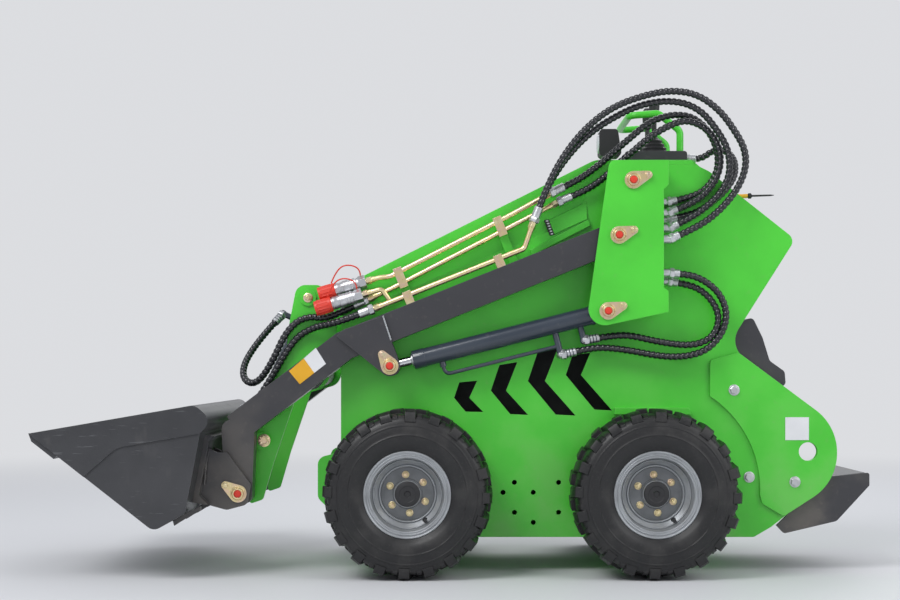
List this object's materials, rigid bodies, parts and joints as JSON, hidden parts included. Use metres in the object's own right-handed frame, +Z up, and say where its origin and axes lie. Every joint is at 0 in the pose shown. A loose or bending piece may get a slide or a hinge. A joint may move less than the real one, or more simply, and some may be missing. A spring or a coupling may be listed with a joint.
{
  "type": "stand-on skid steer loader",
  "caption": "Compact stand-on wheeled skid steer loader with lift arms, tipping bucket, hydraulic cylinders, control levers, grab rail and a rear operator step.",
  "frame": {"origin": "on the ground, midway along the machine's length and width", "axes": "-X points forwards to the bucket, +X to the operator's step, +Y to the machine's right, +Z up"},
  "size_m": [2.3, 1.0098, 1.35],
  "materials": {
    "black_plastic": "matt black moulding",
    "bright_steel": "polished, chromed rods and plated couplers",
    "cylinder_paint": "satin blue-grey paint",
    "dark_paint": "satin dark grey paint",
    "engine_iron": "dark cast metal",
    "green_paint": "semi-gloss bright green powder coat",
    "hose_rubber": "black rubber hose in spiral guard",
    "red_plastic": "red moulding",
    "rim_silver": "silver paint",
    "tyre_rubber": "black tyre rubber",
    "zinc_steel": "yellow zinc plate"
  },
  "bodies": {
    "chassis": {"console": "dark_paint", "control_levers": "black_plastic", "engine": "engine_iron", "floor_pan": "green_paint", "front_panel": "green_paint", "hand_rail": "green_paint", "hood": "green_paint", "hose_console": "hose_rubber", "hose_lift_lower": "hose_rubber", "hose_lift_upper": "hose_rubber", "hose_middle": "hose_rubber", "hose_outer": "hose_rubber", "hose_second": "hose_rubber", "hose_top": "hose_rubber", "rear_cover": "green_paint", "rear_tank": "dark_paint", "side_plate_left": "green_paint", "side_plate_right": "green_paint", "step": "dark_paint", "tail_plate_left": "green_paint", "tail_plate_right": "green_paint", "tower_left": "green_paint", "tower_pins": "zinc_steel", "tower_right": "green_paint", "web_fittings": "bright_steel", "wheel_motors": "engine_iron", "work_lamp": "black_plastic"},
    "boom": {"arm_left": "dark_paint", "arm_right": "dark_paint", "boom_pipes": "zinc_steel", "couplers": "bright_steel", "cross_tube": "dark_paint", "dust_caps": "red_plastic", "hose_tilt_base": "hose_rubber", "hose_tilt_gland": "hose_rubber", "lever_plates": "green_paint", "lift_pins": "zinc_steel", "pipe_brackets": "green_paint", "pipe_clamps": "zinc_steel", "tilt_shaft": "dark_paint"},
    "bucket": {"bucket_blade": "dark_paint", "bucket_pins": "zinc_steel", "bucket_shell": "dark_paint", "quick_attach": "dark_paint", "side_cutters": "dark_paint"},
    "lift_barrel_left": {"lift_barrel_left": "cylinder_paint"},
    "lift_barrel_right": {"lift_barrel_right": "cylinder_paint"},
    "lift_rod_left": {"lift_rod_left": "bright_steel"},
    "lift_rod_right": {"lift_rod_right": "bright_steel"},
    "tilt_barrel": {"tilt_barrel": "cylinder_paint"},
    "tilt_rod": {"tilt_rod": "bright_steel"},
    "wheel_front_left": {"rim_front_left": "rim_silver", "tyre_front_left": "tyre_rubber"},
    "wheel_front_right": {"rim_front_right": "rim_silver", "tyre_front_right": "tyre_rubber"},
    "wheel_rear_left": {"rim_rear_left": "rim_silver", "tyre_rear_left": "tyre_rubber"},
    "wheel_rear_right": {"rim_rear_right": "rim_silver", "tyre_rear_right": "tyre_rubber"}
  },
  "joints": [
    {"name": "boom_lift", "type": "hinge", "parent": "chassis", "child": "boom", "pos_m": [0.436, 0, 0.934], "axis": [0, 1, 0], "range_deg": [0, 62], "deforming": ["hose_outer", "hose_second", "hose_top", "hose_middle"]},
    {"name": "bucket_dump", "type": "hinge", "parent": "boom", "child": "bucket", "pos_m": [-0.609, 0, 0.225], "axis": [0, -1, 0], "range_deg": [0, 130]},
    {"name": "lift_swing_left", "type": "hinge", "parent": "chassis", "child": "lift_barrel_left", "pos_m": [0.406, -0.31, 0.726], "axis": [0, 1, 0], "range_deg": [0, 60.06], "deforming": ["hose_lift_upper", "hose_lift_lower"]},
    {"name": "lift_slide_left", "type": "slide", "parent": "lift_barrel_left", "child": "lift_rod_left", "axis": [-0.9697, 0, -0.2444], "range_m": [0, 0.2157]},
    {"name": "lift_swing_right", "type": "hinge", "parent": "chassis", "child": "lift_barrel_right", "pos_m": [0.406, 0.31, 0.726], "axis": [0, 1, 0], "range_deg": [0, 60.06]},
    {"name": "lift_slide_right", "type": "slide", "parent": "lift_barrel_right", "child": "lift_rod_right", "axis": [-0.9697, 0, -0.2444], "range_m": [0, 0.2157]},
    {"name": "tilt_swing", "type": "hinge", "parent": "boom", "child": "tilt_barrel", "pos_m": [-0.426, 0, 0.767], "axis": [0, -1, 0], "range_deg": [0, 2.46], "deforming": ["hose_tilt_base", "hose_tilt_gland"]},
    {"name": "tilt_slide", "type": "slide", "parent": "tilt_barrel", "child": "tilt_rod", "axis": [-0.4261, 0, -0.9047], "range_m": [0, 0.2265]},
    {"name": "wheel_front_left_spin", "type": "hinge", "parent": "chassis", "child": "wheel_front_left", "pos_m": [-0.142, -0.397, 0.23], "axis": [0, 1, 0], "continuous": true},
    {"name": "wheel_front_right_spin", "type": "hinge", "parent": "chassis", "child": "wheel_front_right", "pos_m": [-0.142, 0.397, 0.23], "axis": [0, 1, 0], "continuous": true},
    {"name": "wheel_rear_left_spin", "type": "hinge", "parent": "chassis", "child": "wheel_rear_left", "pos_m": [0.528, -0.397, 0.23], "axis": [0, 1, 0], "continuous": true},
    {"name": "wheel_rear_right_spin", "type": "hinge", "parent": "chassis", "child": "wheel_rear_right", "pos_m": [0.528, 0.397, 0.23], "axis": [0, 1, 0], "continuous": true}
  ],
  "couplings": [
    {"joint": "lift_swing_left", "follows": "boom_lift", "ratio": 0.96387},
    {"joint": "lift_slide_left", "follows": "boom_lift", "m_per_rad": 0.19836},
    {"joint": "lift_swing_right", "follows": "boom_lift", "ratio": 0.96387},
    {"joint": "lift_slide_right", "follows": "boom_lift", "m_per_rad": 0.19836},
    {"joint": "tilt_swing", "follows": "bucket_dump", "ratio": 0.0166},
    {"joint": "tilt_slide", "follows": "bucket_dump", "m_per_rad": 0.09939}
  ]
}
